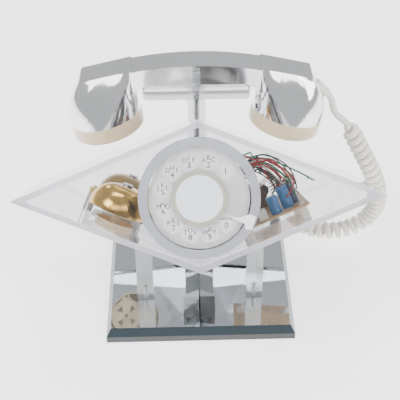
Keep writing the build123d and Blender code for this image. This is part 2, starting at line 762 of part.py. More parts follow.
CONTACT_ANGLE = 200.0
CONTACT_WIDTH = 14.0
CONTACT_DEPTH = 6.0
CONTACT_RADIUS = 30.0
LEAF_HEIGHT = 0.4
contact_place = (
    CONTACT_RADIUS * cos(radians(CONTACT_ANGLE)),
    CONTACT_RADIUS * sin(radians(CONTACT_ANGLE)),
)
with BuildPart() as pulse_contacts:
    with BuildSketch(moved(DIAL, contact_place[0], contact_place[1], BRIDGE_BASE + BRIDGE_HEIGHT)):
        Rectangle(CONTACT_DEPTH, CONTACT_WIDTH)
    extrude(amount=CONTACT_DEPTH)
    for level in (1, 2):
        leaf_level = BRIDGE_BASE + BRIDGE_HEIGHT + CONTACT_DEPTH * level / 3
        with BuildSketch(moved(DIAL, contact_place[0], contact_place[1], leaf_level)):
            with Locations((CONTACT_DEPTH, 0)):
                Rectangle(2 * CONTACT_DEPTH, CONTACT_DEPTH / 2)
        extrude(amount=LEAF_HEIGHT)
save(pulse_contacts, "pulse_contacts")


# ---------------------------------------------------------------- ringer
RINGER = on_lower_sheet(-1, RINGER_ALONG, RINGER_DEPTH)
FRAME_LENGTH = 32.0
FRAME_WIDTH = 42.0
FRAME_HEIGHT = 1.6
GONG_BASE_RADIUS = 16.0
GONG_BASE_HEIGHT = 6.0
GONG_BASE_WALL = 2.0
FLANGE_LENGTH = 46.0
GONG_POST_RADIUS = 3.5
GONG_SCREW_RADIUS = 1.5
GONG_BORE = 2.2
WINDOW_COUNT = 4

# the coil lies between the gongs, on a core held by two plates of the frame
COIL_BODY_RADIUS = 9.0
COIL_LENGTH = 22.0
COIL_Y = -16.0
COIL_LIFT = 14.0
CORE_RADIUS = 3.0
CORE_PLATE = 2.0
CORE_WIDTH = 8.0
coil_axis = Plane(
    origin=RINGER.from_local_coords((-COIL_LENGTH / 2, COIL_Y, COIL_LIFT)),
    x_dir=RINGER.y_dir,
    z_dir=RINGER.x_dir,
)
with BuildPart() as ringer_frame:
    with BuildSketch(RINGER):
        RectangleRounded(FRAME_LENGTH, FRAME_WIDTH, 4)
        with Locations((0, FRAME_WIDTH / 4)):
            Rectangle(FRAME_LENGTH / 2, 6, mode=Mode.SUBTRACT)
    extrude(amount=FRAME_HEIGHT)
    with BuildSketch(moved(coil_axis, z=-CORE_PLATE)):
        Circle(CORE_RADIUS - GLUE_GAP)
    extrude(amount=COIL_LENGTH + 2 * CORE_PLATE)
    for start in (-CORE_PLATE, COIL_LENGTH):
        with BuildSketch(moved(coil_axis, z=start)):
            with Locations((0, (FRAME_HEIGHT / 2 - COIL_LIFT) / 2)):
                Rectangle(CORE_WIDTH, COIL_LIFT - FRAME_HEIGHT / 2)
        extrude(amount=CORE_PLATE)
save(ringer_frame, "ringer_frame")


with BuildPart() as gong_bases:
    for side in (-1, 1):
        seat = moved(RINGER, side * GONG_SPACING / 2, 0)
        with BuildSketch(seat) as flange:
            with BuildLine():
                Polyline(
                    (FLANGE_LENGTH / 2, 0),
                    (0, GONG_BASE_RADIUS),
                    (-FLANGE_LENGTH / 2, 0),
                    (0, -GONG_BASE_RADIUS),
                    close=True,
                )
            make_face()
            fillet(flange.vertices(), 3)
            Circle(GONG_BASE_RADIUS)
            with Locations((FLANGE_LENGTH / 2 - 4, 0), (4 - FLANGE_LENGTH / 2, 0)):
                Circle(GONG_SCREW_RADIUS, mode=Mode.SUBTRACT)
        extrude(amount=GONG_BASE_WALL)
        with BuildSketch(seat):
            Circle(GONG_BASE_RADIUS)
            Circle(GONG_BASE_RADIUS - GONG_BASE_WALL, mode=Mode.SUBTRACT)
        extrude(amount=GONG_BASE_HEIGHT)
        with BuildSketch(seat):
            with PolarLocations(GONG_BASE_RADIUS * 0.55, WINDOW_COUNT, 45):
                RegularPolygon(GONG_BASE_RADIUS / 4, 3, rotation=180)
        extrude(amount=GONG_BASE_WALL, mode=Mode.SUBTRACT)
        with BuildSketch(seat):
            Circle(GONG_POST_RADIUS)
        extrude(amount=GONG_LIFT + GONG_HEIGHT - GONG_WALL)
        with BuildSketch(seat):
            Circle(GONG_SCREW_RADIUS)
        extrude(amount=GONG_LIFT + GONG_HEIGHT, mode=Mode.SUBTRACT)
save(gong_bases, "gong_bases")


def gong(side):
    """One brass bell, open downwards, with a screw hole at its crown."""
    rim = moved(RINGER, side * GONG_SPACING / 2, 0, GONG_LIFT)
    inner_radius = GONG_RADIUS - GONG_WALL
    inner_height = GONG_HEIGHT - GONG_WALL
    with BuildPart() as bell:
        with BuildSketch(side_view(rim)):
            with BuildLine():
                Line((GONG_BORE, inner_height), (GONG_BORE, GONG_HEIGHT))
                Line((GONG_BORE, GONG_HEIGHT), (GONG_RADIUS * 0.24, GONG_HEIGHT))
                ThreePointArc(
                    (GONG_RADIUS * 0.24, GONG_HEIGHT),
                    (GONG_RADIUS * 0.83, GONG_HEIGHT * 0.66),
                    (GONG_RADIUS, 0),
                )
                Line((GONG_RADIUS, 0), (inner_radius, 0))
                ThreePointArc(
                    (inner_radius, 0),
                    (inner_radius * 0.82, inner_height * 0.66),
                    (inner_radius * 0.24, inner_height),
                )
                Line((inner_radius * 0.24, inner_height), (GONG_BORE, inner_height))
            make_face()
        revolve(axis=Axis(rim.origin, rim.z_dir))
    return bell


save(gong(-1), "gong_front")
save(gong(1), "gong_rear")

GONG_SCREW_HEAD = 4.2
with BuildPart() as gong_screws:
    for side in (-1, 1):
        crown = moved(RINGER, side * GONG_SPACING / 2, 0, GONG_LIFT + GONG_HEIGHT)
        with BuildSketch(crown):
            SlotOverall(2 * GONG_SCREW_HEAD, 2 * GONG_SCREW_HEAD * 0.99)
            Rectangle(2 * GONG_SCREW_HEAD, 1, mode=Mode.SUBTRACT)
            Circle(GONG_SCREW_RADIUS)
        extrude(amount=2)
        with BuildSketch(crown):
            Circle(GONG_SCREW_HEAD)
        extrude(amount=0.8)
        with BuildSketch(crown):
            Circle(GONG_SCREW_RADIUS - GLUE_GAP)
        extrude(amount=-GONG_HEIGHT)
save(gong_screws, "gong_screws")

save(disc(coil_axis, COIL_BODY_RADIUS, COIL_LENGTH, bore=CORE_RADIUS), "ringer_coil")

# the clapper swings between the gongs' rims
PIVOT_Y = 26.0
PIVOT_RADIUS = 1.5
PIVOT_BOSS = 4.0
CLAPPER_LIFT = 17.0
CLAPPER_ROD = 1.2
CLAPPER_BALL = 5.0
PIVOT_HEIGHT = 14.0
pivot_foot = moved(RINGER, 0, PIVOT_Y, 0)
with BuildPart() as clapper_pivot:
    with BuildSketch(pivot_foot):
        Circle(PIVOT_BOSS)
    extrude(amount=PIVOT_HEIGHT)
    with BuildSketch(moved(pivot_foot, z=PIVOT_HEIGHT)):
        Circle(PIVOT_RADIUS)
    extrude(amount=2 * PIVOT_BOSS)
save(clapper_pivot, "clapper_pivot")

with BuildPart() as clapper:
    with BuildSketch(moved(pivot_foot, z=PIVOT_HEIGHT + MOVING_GAP)):
        Circle(PIVOT_BOSS)
    extrude(amount=2 * PIVOT_BOSS - 2)
    rod_plane = Plane(
        origin=RINGER.from_local_coords((0, PIVOT_Y - PIVOT_BOSS / 2, CLAPPER_LIFT)),
        x_dir=RINGER.x_dir,
        z_dir=-RINGER.y_dir,
    )
    with BuildSketch(rod_plane):
        Circle(CLAPPER_ROD)
    extrude(amount=PIVOT_Y - PIVOT_BOSS / 2)
    with BuildSketch(moved(RINGER, 0, 0, CLAPPER_LIFT)) as ball_half:
        with BuildLine():
            CenterArc((0, 0), CLAPPER_BALL, -90, 180)
            Line((0, CLAPPER_BALL), (0, -CLAPPER_BALL))
        make_face()
    revolve(axis=Axis(RINGER.from_local_coords((0, 0, CLAPPER_LIFT)), RINGER.y_dir))
    with BuildSketch(moved(pivot_foot, z=PIVOT_HEIGHT)):
        Circle(PIVOT_RADIUS + 0.05)
    extrude(amount=3 * PIVOT_BOSS, mode=Mode.SUBTRACT)
save(clapper, "clapper")


# ---------------------------------------------------------------- network
BOARD = on_lower_sheet(1, BOARD_ALONG, BOARD_DEPTH)
SPACER_RADIUS = 3.4
SPACER_INSET = 6.0
SPACER_SCREW = 1.5
spacer_places = [
    (x, y)
    for x in (SPACER_INSET - BOARD_LENGTH / 2, BOARD_LENGTH / 2 - SPACER_INSET)
    for y in (SPACER_INSET - BOARD_WIDTH / 2, BOARD_WIDTH / 2 - SPACER_INSET)
]
PAD_HOLE = 1.6
PAD_HOLES = (7, 4)
PAD_PITCH = (11.0, 10.0)
board_top = BOARD_LIFT + BOARD_THICKNESS
with BuildPart() as network_board:
    with BuildSketch(moved(BOARD, z=BOARD_LIFT)):
        Rectangle(BOARD_LENGTH, BOARD_WIDTH)
        with Locations(*spacer_places):
            Circle(SPACER_SCREW, mode=Mode.SUBTRACT)
        with GridLocations(PAD_PITCH[0], PAD_PITCH[1], *PAD_HOLES):
            Circle(PAD_HOLE, mode=Mode.SUBTRACT)
    extrude(amount=BOARD_THICKNESS)
save(network_board, "network_board")

with BuildPart() as board_spacers:
    with BuildSketch(BOARD):
        with Locations(*spacer_places):
            Circle(SPACER_RADIUS)
            Circle(SPACER_SCREW, mode=Mode.SUBTRACT)
    extrude(amount=BOARD_LIFT)
save(board_spacers, "board_spacers")

with BuildPart() as board_screws:
    with BuildSketch(BOARD):
        with Locations(*spacer_places):
            Circle(SPACER_SCREW - GLUE_GAP)
    extrude(amount=board_top)
    with BuildSketch(moved(BOARD, z=board_top)):
        with Locations(*spacer_places):
            Circle(2 * SPACER_SCREW)
    extrude(amount=SPACER_SCREW)
save(board_screws, "board_screws")

# upright round capacitors: depth along the board, distance from the middle line, radius, height
BLUE_CAPACITORS = ((-41.0, -3.5, 4.6, 15.0), (-33.0, -14.0, 4.8, 18.0))
DARK_CAPACITORS = ((-24.0, -20.0, 4.2, 18.0), (10.0, -18.0, 5.0, 16.0))
CAPACITOR_EDGE = 1.6


def capacitor_group(entries):
    """Several round capacitors standing on the board, as one group."""
    with BuildPart() as group:
        for x, y, radius, height in entries:
            with BuildSketch(moved(BOARD, x, y, board_top)):
                Circle(radius)
            can = extrude(amount=height)
            rim = can.faces().sort_by(Axis(BOARD.origin, BOARD.z_dir))[-1]
            fillet(rim.edges(), CAPACITOR_EDGE)
    return group


save(capacitor_group(BLUE_CAPACITORS), "capacitors_blue")
save(capacitor_group(DARK_CAPACITORS), "capacitors_dark")

COIL_BOX = (26.0, 22.0, 18.0)
COIL_BOX_PLACE = (30.0, 8.0)
COIL_BOBBIN = 7.0
with BuildPart() as induction_coil:
    coil_foot = moved(BOARD, COIL_BOX_PLACE[0], COIL_BOX_PLACE[1], board_top)
    with BuildSketch(coil_foot):
        Rectangle(COIL_BOX[0], COIL_BOX[1])
    extrude(amount=COIL_BOX[2])
    with BuildSketch(moved(coil_foot, z=COIL_BOX[2])):
        Rectangle(COIL_BOX[0] - COIL_BOBBIN, COIL_BOX[1] - COIL_BOBBIN)
    extrude(amount=SPACER_RADIUS)
save(induction_coil, "induction_coil")

TERMINAL = (12.0, 7.0, 8.0)
TERMINAL_PLACES = ((-44.0, 8.0), (-32.0, 22.0), (0.0, 20.0))
with BuildPart() as terminal_blocks:
    with BuildSketch(moved(BOARD, z=board_top)):
        with Locations(*TERMINAL_PLACES):
            Rectangle(TERMINAL[0], TERMINAL[1])
            with Locations((-3, 0), (3, 0)):
                Circle(SPACER_SCREW, mode=Mode.SUBTRACT)
    extrude(amount=TERMINAL[2])
save(terminal_blocks, "terminal_blocks")


# ---------------------------------------------------------------- wiring inside the body
WIRE_RADIUS = 0.7


def face_point(x, y, depth):
    """A point inside the body: across and up the face, and behind it."""
    return FACE.from_local_coords((x, y, -depth))


def wire_group(routes):
    """Insulated wires along routes of points inside the body, as one group."""
    with BuildPart() as group:
        for route in routes:
            points = [face_point(*point) for point in route]
            with BuildLine() as path:
                FilletPolyline(*points, radius=4 * WIRE_RADIUS)
            with BuildSketch(Plane(origin=path.line @ 0, z_dir=path.line % 0)):
                Circle(WIRE_RADIUS)
            sweep(path=path.line)
    return group


RED_ROUTES = (
    ((72, 12, 30), (60, 26, 36), (40, 22, 44), (20, 30, 52), (6, 14, 60)),
    ((58, 9, 46), (48, 24, 52), (30, 30, 62), (16, 22, 78)),
)
GREEN_ROUTES = (
    ((86, 12, 24), (94, 8, 40), (82, 14, 60), (60, 24, 70), (34, 26, 86)),
    ((52, 12, 58), (44, 30, 68), (24, 20, 92)),
)
DARK_ROUTES = (
    ((64, 6, 60), (50, 16, 66), (34, 12, 52), (12, 8, 48)),
    ((46, 2, 40), (36, -12, 52), (10, -20, 62), (-22, -26, 70), (-40, -20, 76)),
)
save(wire_group(RED_ROUTES), "wires_red")
save(wire_group(GREEN_ROUTES), "wires_green")
save(wire_group(DARK_ROUTES), "wires_dark")


# ---------------------------------------------------------------- handset cord
def cord_tube(points, radius):
    """A round tube along straight runs joined by the largest arcs that the runs allow."""
    points = [Vector(point) for point in points]
    radii = []
    for before, corner, after in zip(points, points[1:], points[2:]):
        run_in = corner - before
        run_out = after - corner
        turn = radians(run_in.get_angle(run_out))
        shorter = min(run_in.length, run_out.length)
        radii.append(0.45 * shorter * cos(turn / 2) / sin(turn / 2))
    print("cord radii", [round(value, 1) for value in radii])
    with BuildPart() as tube:
        with BuildLine() as path:
            FilletPolyline(*points, radius=radii)
        with BuildSketch(Plane(origin=path.line @ 0, z_dir=path.line % 0)):
            Circle(radius)
        sweep(path=path.line)
    length = sum(edge.length for edge in path.edges())
    share = tube.part.volume / (length * pi * radius**2)
    print("cord length", round(length, 1), "volume share", round(share, 4))
    return tube


lead_start = exit_point + exit_direction * GLUE_GAP
COIL_POINTS = (
    Vector(131.0, 37.5, 146.0),
    Vector(141.0, 37.2, 125.0),
    Vector(152.5, 37.0, 103.0),
    Vector(162.5, 39.5, 80.0),
    Vector(168.5, 44.0, 57.0),
    Vector(169.5, 52.0, 36.0),
    Vector(164.0, 58.0, 18.0),
    Vector(149.0, 54.0, 8.8),
    Vector(130.0, 49.5, 8.6),
    Vector(111.0, 53.0, 8.6),
    Vector(96.0, 65.0, 8.6),
    Vector(91.0, 84.0, 8.6),
    Vector(86.0, 104.0, 8.6),
)
coil_start = COIL_POINTS[0]
coil_end = COIL_POINTS[-1]
start_direction = (COIL_POINTS[1] - coil_start).normalized()
end_direction = (coil_end - COIL_POINTS[-2]).normalized()
LEAD_POINTS = (
    lead_start,
    lead_start + exit_direction * 8.5,
    lead_start + Vector(7.6, 0.1, -15.5),
    coil_start - start_direction * 11.0,
    coil_start,
)
GROMMET_RUN = 24.0
grommet_out = moved(FACE, GROMMET_X, GROMMET_Y, -BODY_DEPTH - GROMMET_LENGTH - GLUE_GAP)
TAIL_POINTS = (
    coil_end,
    coil_end + end_direction * 15.0,
    Vector(72.0, 121.0, 19.0),
    Vector(63.0, 95.0, 32.0),
    grommet_out.origin + into_body * GROMMET_RUN,
    grommet_out.origin,
)
save(cord_tube(LEAD_POINTS, CORD_RADIUS), "handset_cord_lead")
save(cord_tube(COIL_POINTS, COIL_RADIUS), "handset_cord_coil")
save(cord_tube(TAIL_POINTS, CORD_RADIUS), "handset_cord_tail")
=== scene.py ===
"""Looks for the clear acrylic desk telephone: camera, cord, materials, dial lettering and studio."""
from math import cos, pi, radians, sin

import bpy
from mathutils import Matrix, Vector


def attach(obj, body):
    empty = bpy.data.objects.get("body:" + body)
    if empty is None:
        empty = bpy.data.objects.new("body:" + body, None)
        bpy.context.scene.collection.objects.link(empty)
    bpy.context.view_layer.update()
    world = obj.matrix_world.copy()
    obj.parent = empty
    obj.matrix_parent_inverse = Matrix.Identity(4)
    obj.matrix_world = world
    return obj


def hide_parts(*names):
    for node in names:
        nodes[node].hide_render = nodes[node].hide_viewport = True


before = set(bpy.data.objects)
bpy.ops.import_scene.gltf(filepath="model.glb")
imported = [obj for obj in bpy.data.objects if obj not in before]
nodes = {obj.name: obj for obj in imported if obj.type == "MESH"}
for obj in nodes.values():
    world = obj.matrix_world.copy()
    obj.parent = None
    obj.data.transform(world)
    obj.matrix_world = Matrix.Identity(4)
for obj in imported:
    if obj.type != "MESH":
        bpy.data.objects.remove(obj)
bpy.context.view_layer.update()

# ---------------------------------------------------------------- camera
CAMERA_PLACE = Vector((-0.0078, -0.6759, 0.6601))
CAMERA_DOWN = radians(40.0)
CAMERA_YAW = radians(0.8)
CAMERA_ROLL = radians(-0.68)
CAMERA_LENS = 90.9
forward = Vector((
    sin(CAMERA_YAW) * cos(CAMERA_DOWN),
    cos(CAMERA_YAW) * cos(CAMERA_DOWN),
    -sin(CAMERA_DOWN),
))
level_right = Vector((cos(CAMERA_YAW), -sin(CAMERA_YAW), 0))
level_up = level_right.cross(forward)
camera_right = level_right * cos(CAMERA_ROLL) + level_up * sin(CAMERA_ROLL)
camera_up = level_up * cos(CAMERA_ROLL) - level_right * sin(CAMERA_ROLL)
camera_data = bpy.data.cameras.new("camera")
camera_data.lens = CAMERA_LENS
camera_data.sensor_width = 36.0
camera_data.clip_end = 20.0
camera = bpy.data.objects.new("camera", camera_data)
turn = Matrix((camera_right, camera_up, -forward)).transposed().to_4x4()
camera.matrix_world = Matrix.Translation(CAMERA_PLACE) @ turn
bpy.context.scene.collection.objects.link(camera)
bpy.context.scene.camera = camera


# ---------------------------------------------------------------- mesh helpers
def mesh_object(name, vertices, faces, smooth=True):
    """A new object from plain vertices and faces."""
    mesh = bpy.data.meshes.new(name)
    mesh.from_pydata(vertices, [], faces)
    mesh.update()
    for polygon in mesh.polygons:
        polygon.use_smooth = smooth
    made = bpy.data.objects.new(name, mesh)
    bpy.context.scene.collection.objects.link(made)
    return made


def frames_along(points):
    """Two directions square to the path at each point, carried along without twist."""
    tangents = []
    last = len(points) - 1
    for index in range(last + 1):
        ahead = points[min(index + 1, last)]
        behind = points[max(index - 1, 0)]
        tangents.append((ahead - behind).normalized())
    side = tangents[0].orthogonal().normalized()
    pairs = []
    for tangent in tangents:
        side = (side - tangent * side.dot(tangent)).normalized()
        pairs.append((side, tangent.cross(side)))
    return pairs


def tube(name, points, radius, sides=12):
    """A closed round tube along points."""
    pairs = frames_along(points)
    vertices = []
    for point, (first, second) in zip(points, pairs):
        for step in range(sides):
            angle = 2 * pi * step / sides
            vertices.append(point + first * (radius * cos(angle)) + second * (radius * sin(angle)))
    faces = []
    for ring in range(len(points) - 1):
        for step in range(sides):
            here = ring * sides + step
            beside = ring * sides + (step + 1) % sides
            faces.append((here, beside, beside + sides, here + sides))
    faces.append(tuple(range(sides - 1, -1, -1)))
    end = (len(points) - 1) * sides
    faces.append(tuple(range(end, end + sides)))
    return mesh_object(name, vertices, faces)


def smooth_route(name, corners, resolution):
    """Points along a smooth curve steered by corners."""
    curve = bpy.data.curves.new(name, "CURVE")
    curve.dimensions = "3D"
    spline = curve.splines.new("NURBS")
    spline.points.add(len(corners) - 1)
    for point, corner in zip(spline.points, corners):
        point.co = (corner[0], corner[1], corner[2], 1.0)
    spline.order_u = 3
    spline.use_endpoint_u = True
    spline.resolution_u = resolution
    holder = bpy.data.objects.new(name, curve)
    mesh = bpy.data.meshes.new_from_object(holder)
    points = [vertex.co.copy() for vertex in mesh.vertices]
    bpy.data.objects.remove(holder)
    bpy.data.meshes.remove(mesh)
    return points


# ---------------------------------------------------------------- handset cord
CORD_WIRE_RADIUS = 0.0029
CORD_SIDES = 10
COIL_WIRE_TURN = 0.0057
COIL_PITCH = 0.0080
COIL_RAMP = 0.012
LEAD_ROUTE = (
    (0.11053, 0.03693, 0.17776),
    (0.1156, 0.0370, 0.1730),
    (0.1172, 0.0371, 0.1620),
    (0.1215, 0.0373, 0.1535),
    (0.1310, 0.0375, 0.1460),
)
COIL_ROUTE = (
    (0.1410, 0.0372, 0.1250),
    (0.1525, 0.0370, 0.1030),
    (0.1625, 0.0395, 0.0800),
    (0.1685, 0.0440, 0.0570),
    (0.1695, 0.0520, 0.0360),
    (0.1640, 0.0580, 0.0180),
    (0.1490, 0.0540, 0.0088),
    (0.1300, 0.0495, 0.0086),
    (0.1110, 0.0530, 0.0086),
    (0.0960, 0.0650, 0.0086),
    (0.0910, 0.0840, 0.0086),
    (0.0860, 0.1040, 0.0086),
)
TAIL_ROUTE = (
    (0.0823, 0.1186, 0.0086),
    (0.0720, 0.1210, 0.0190),
    (0.0630, 0.0950, 0.0320),
    (0.0600, 0.0716, 0.0475),
    (0.0600, 0.0516, 0.0606),
)
route = smooth_route("cord_route", LEAD_ROUTE + COIL_ROUTE + TAIL_ROUTE, 24)
coil_start = Vector(LEAD_ROUTE[-1])
coil_end = Vector(COIL_ROUTE[-1])
travel = [0.0]
for before, after in zip(route, route[1:]):
    travel.append(travel[-1] + (after - before).length)
start_travel = min(zip(route, travel), key=lambda pair: (pair[0] - coil_start).length)[1]
end_travel = min(zip(route, travel), key=lambda pair: (pair[0] - coil_end).length)[1]
route_frames = frames_along(route)


def at_travel(distance):
    """The route's point and square directions at a distance along it."""
    index = 0
    while index < len(travel) - 2 and travel[index + 1] < distance:
        index += 1
    share = (distance - travel[index]) / (travel[index + 1] - travel[index])
    share = min(max(share, 0.0), 1.0)
    point = route[index].lerp(route[index + 1], share)
    first = route_frames[index][0].lerp(route_frames[index + 1][0], share).normalized()
    second = route_frames[index][1].lerp(route_frames[index + 1][1], share).normalized()
    return point, first, second


STEP_IN_COIL = 0.00035
STEP_IN_LEAD = 0.0015
cord_points = []
distance = 0.0
while distance < travel[-1]:
    point, first, second = at_travel(distance)
    inside = min(distance - start_travel, end_travel - distance)
    swell = min(max(inside / COIL_RAMP, 0.0), 1.0)
    swell = swell * swell * (3 - 2 * swell)
    angle = 2 * pi * (distance - start_travel) / COIL_PITCH
    offset = first * cos(angle) + second * sin(angle)
    cord_points.append(point + offset * (COIL_WIRE_TURN * swell))
    distance += STEP_IN_COIL if inside > -STEP_IN_LEAD else STEP_IN_LEAD
cord_points.append(route[-1].copy())
cord = tube("handset_cord", cord_points, CORD_WIRE_RADIUS, sides=CORD_SIDES)
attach(cord, "telephone")
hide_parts("handset_cord_lead", "handset_cord_coil", "handset_cord_tail")


# ---------------------------------------------------------------- materials
# A mix node has sockets for each kind of value. These are the ones for numbers and for colours.
NUMBER_A, NUMBER_B, NUMBER_OUT = 2, 3, 0
COLOUR_A, COLOUR_B, COLOUR_OUT = 6, 7, 2
BUMP_DEPTH = 0.0005
STAIN_FROM = 0.5
STAIN_FULL = 0.72


def new_material(name):
    """A new node material, returned with its node tree and Principled shader."""
    made = bpy.data.materials.new(name)
    made.use_nodes = True
    tree = made.node_tree
    shader = tree.nodes["Principled BSDF"]
    return made, tree, shader


def finish(
    name,
    colour,
    roughness,
    metallic=0.0,
    transmission=0.0,
    ior=1.5,
    grain=60.0,
    spread=0.06,
    bump=0.0,
    coat=0.0,
    stain=None,
    stain_scale=25.0,
    glow=0.0,
):
    """A finish whose colour and roughness vary a little over the surface."""
    made, tree, shader = new_material(name)
    coordinates = tree.nodes.new("ShaderNodeTexCoord")
    noise = tree.nodes.new("ShaderNodeTexNoise")
    noise.inputs["Scale"].default_value = grain
    noise.inputs["Detail"].default_value = 6.0
    tree.links.new(coordinates.outputs["Object"], noise.inputs["Vector"])
    ramp = tree.nodes.new("ShaderNodeValToRGB")
    darker = [part * (1 - spread) for part in colour]
    lighter = [min(part * (1 + spread), 1.0) for part in colour]
    ramp.color_ramp.elements[0].position = 0.3
    ramp.color_ramp.elements[0].color = (*darker, 1.0)
    ramp.color_ramp.elements[1].position = 0.7
    ramp.color_ramp.elements[1].color = (*lighter, 1.0)
    tree.links.new(noise.outputs["Fac"], ramp.inputs["Fac"])
    colour_out = ramp.outputs["Color"]
    if stain is not None:
        patches = tree.nodes.new("ShaderNodeTexNoise")
        patches.inputs["Scale"].default_value = stain_scale
        patches.inputs["Detail"].default_value = 8.0
        tree.links.new(coordinates.outputs["Object"], patches.inputs["Vector"])
        mask = tree.nodes.new("ShaderNodeMapRange")
        mask.inputs["From Min"].default_value = STAIN_FROM
        mask.inputs["From Max"].default_value = STAIN_FULL
        tree.links.new(patches.outputs["Fac"], mask.inputs["Value"])
        mix = tree.nodes.new("ShaderNodeMix")
        mix.data_type = "RGBA"
        tree.links.new(mask.outputs["Result"], mix.inputs["Factor"])
        tree.links.new(colour_out, mix.inputs[COLOUR_A])
        mix.inputs[COLOUR_B].default_value = (*stain, 1.0)
        colour_out = mix.outputs[COLOUR_OUT]
    tree.links.new(colour_out, shader.inputs["Base Color"])
    rough = tree.nodes.new("ShaderNodeMapRange")
    rough.inputs["To Min"].default_value = roughness * 0.7
    rough.inputs["To Max"].default_value = roughness * 1.3
    tree.links.new(noise.outputs["Fac"], rough.inputs["Value"])
    tree.links.new(rough.outputs["Result"], shader.inputs["Roughness"])
    shader.inputs["Metallic"].default_value = metallic
    shader.inputs["Transmission Weight"].default_value = transmission
    shader.inputs["IOR"].default_value = ior
    shader.inputs["Coat Weight"].default_value = coat
    if glow:
        tree.links.new(colour_out, shader.inputs["Emission Color"])
        shader.inputs["Emission Strength"].default_value = glow
    if bump:
        relief = tree.nodes.new("ShaderNodeBump")
        relief.inputs["Strength"].default_value = bump
        relief.inputs["Distance"].default_value = BUMP_DEPTH
        tree.links.new(noise.outputs["Fac"], relief.inputs["Height"])
        tree.links.new(relief.outputs["Normal"], shader.inputs["Normal"])
    return made


def edge_tint(made, facing, low, high, colour, roughness, transmission):
    """Faces that look along facing take a second colour, roughness and clearness."""
    tree = made.node_tree
    shader = tree.nodes["Principled BSDF"]
    geometry = tree.nodes.new("ShaderNodeNewGeometry")
    product = tree.nodes.new("ShaderNodeVectorMath")
    product.operation = "DOT_PRODUCT"
    product.inputs[1].default_value = facing
    tree.links.new(geometry.outputs["True Normal"], product.inputs[0])
    size = tree.nodes.new("ShaderNodeMath")
    size.operation = "ABSOLUTE"
    tree.links.new(product.outputs["Value"], size.inputs[0])
    mask = tree.nodes.new("ShaderNodeMapRange")
    mask.inputs["From Min"].default_value = low
    mask.inputs["From Max"].default_value = high
    tree.links.new(size.outputs["Value"], mask.inputs["Value"])
    base = shader.inputs["Base Color"].links[0].from_socket
    mix = tree.nodes.new("ShaderNodeMix")
    mix.data_type = "RGBA"
    tree.links.new(mask.outputs["Result"], mix.inputs["Factor"])
    tree.links.new(base, mix.inputs[COLOUR_A])
    mix.inputs[COLOUR_B].default_value = (*colour, 1.0)
    tree.links.new(mix.outputs[COLOUR_OUT], shader.inputs["Base Color"])
    for socket, target in (("Roughness", roughness), ("Transmission Weight", transmission)):
        blend = tree.nodes.new("ShaderNodeMix")
        tree.links.new(mask.outputs["Result"], blend.inputs["Factor"])
        if shader.inputs[socket].links:
            tree.links.new(shader.inputs[socket].links[0].from_socket, blend.inputs[NUMBER_A])
        else:
            blend.inputs[NUMBER_A].default_value = shader.inputs[socket].default_value
        blend.inputs[NUMBER_B].default_value = target
        tree.links.new(blend.outputs[NUMBER_OUT], shader.inputs[socket])


BODY_LEAN = radians(33.4)
dial_across = Vector((1, 0, 0))
dial_up = Vector((0, sin(BODY_LEAN), cos(BODY_LEAN)))
dial_out = Vector((0, -cos(BODY_LEAN), sin(BODY_LEAN)))

clear_acrylic = finish(
    "clear_acrylic", (0.90, 0.905, 0.935), 0.02, transmission=1.0, ior=1.46, grain=12.0, spread=0.01
)
edge_tint(clear_acrylic, dial_out, 0.9, 0.95, (0.78, 0.78, 0.86), 0.3, 0.5)
panel_acrylic = finish(
    "panel_acrylic", (0.88, 0.88, 0.895), 0.03, transmission=1.0, ior=1.46, grain=12.0, spread=0.01
)
support_acrylic = finish(
    "support_acrylic", (0.86, 0.88, 0.90), 0.12, transmission=0.82, ior=1.46, grain=12.0, spread=0.02
)
wheel_acrylic = finish(
    "wheel_acrylic", (1.0, 1.0, 1.0), 0.04, transmission=1.0, ior=1.35, grain=20.0, spread=0.01
)
ring_acrylic = finish(
    "ring_acrylic", (0.42, 0.44, 0.50), 0.2, transmission=0.25, ior=1.46, coat=0.5, spread=0.03
)
# Painted shade: the ring's inner and outer walls, square to the dial face, are made dark brown and
# opaque to stand in for the shade seen on them
edge_tint(ring_acrylic, dial_out, 0.5, 0.2, (0.10, 0.09, 0.08), 0.4, 0.0)
black_acrylic = finish("black_acrylic", (0.012, 0.015, 0.015), 0.12, spread=0.2, coat=0.4)
mirror = finish("mirror", (0.62, 0.645, 0.65), 0.02, metallic=1.0, grain=8.0, spread=0.015)
edge_tint(mirror, (0, 0, 1), 0.95, 0.6, (0.13, 0.17, 0.19), 0.12, 0.0)
chrome = finish("chrome", (0.82, 0.83, 0.835), 0.09, metallic=1.0, grain=35.0, spread=0.03)
cream = finish("cream", (0.90, 0.72, 0.46), 0.32, coat=0.3, spread=0.04, bump=0.05)
brass = finish("brass", (0.80, 0.58, 0.24), 0.25, metallic=1.0, spread=0.1)
gong_brass = finish(
    "gong_brass", (0.88, 0.56, 0.15), 0.2, metallic=1.0, spread=0.12, stain=(0.16, 0.09, 0.03)
)
dull_brass = finish(
    "dull_brass", (0.50, 0.37, 0.17), 0.35, metallic=1.0, spread=0.12, stain=(0.16, 0.09, 0.03)
)
case_metal = finish("case_metal", (0.36, 0.345, 0.32), 0.4, metallic=1.0, spread=0.12)
steel = finish("steel", (0.55, 0.55, 0.54), 0.3, metallic=1.0, spread=0.1)
aluminium = finish("aluminium", (0.7, 0.7, 0.7), 0.35, metallic=1.0, spread=0.05)
white_plastic = finish("white_plastic", (0.9, 0.9, 0.92), 0.3, spread=0.02)
number_card = finish("number_card", (0.80, 0.83, 0.90), 0.4, spread=0.03, grain=90.0)
taupe = finish("taupe", (0.40, 0.36, 0.31), 0.4, spread=0.08)
cord_jacket = finish("cord_jacket", (0.84, 0.81, 0.74), 0.42, spread=0.04, bump=0.04)
ivory = finish("ivory", (0.80, 0.76, 0.66), 0.35, spread=0.05)
grey_plastic = finish("grey_plastic", (0.20, 0.20, 0.20), 0.35, spread=0.15)
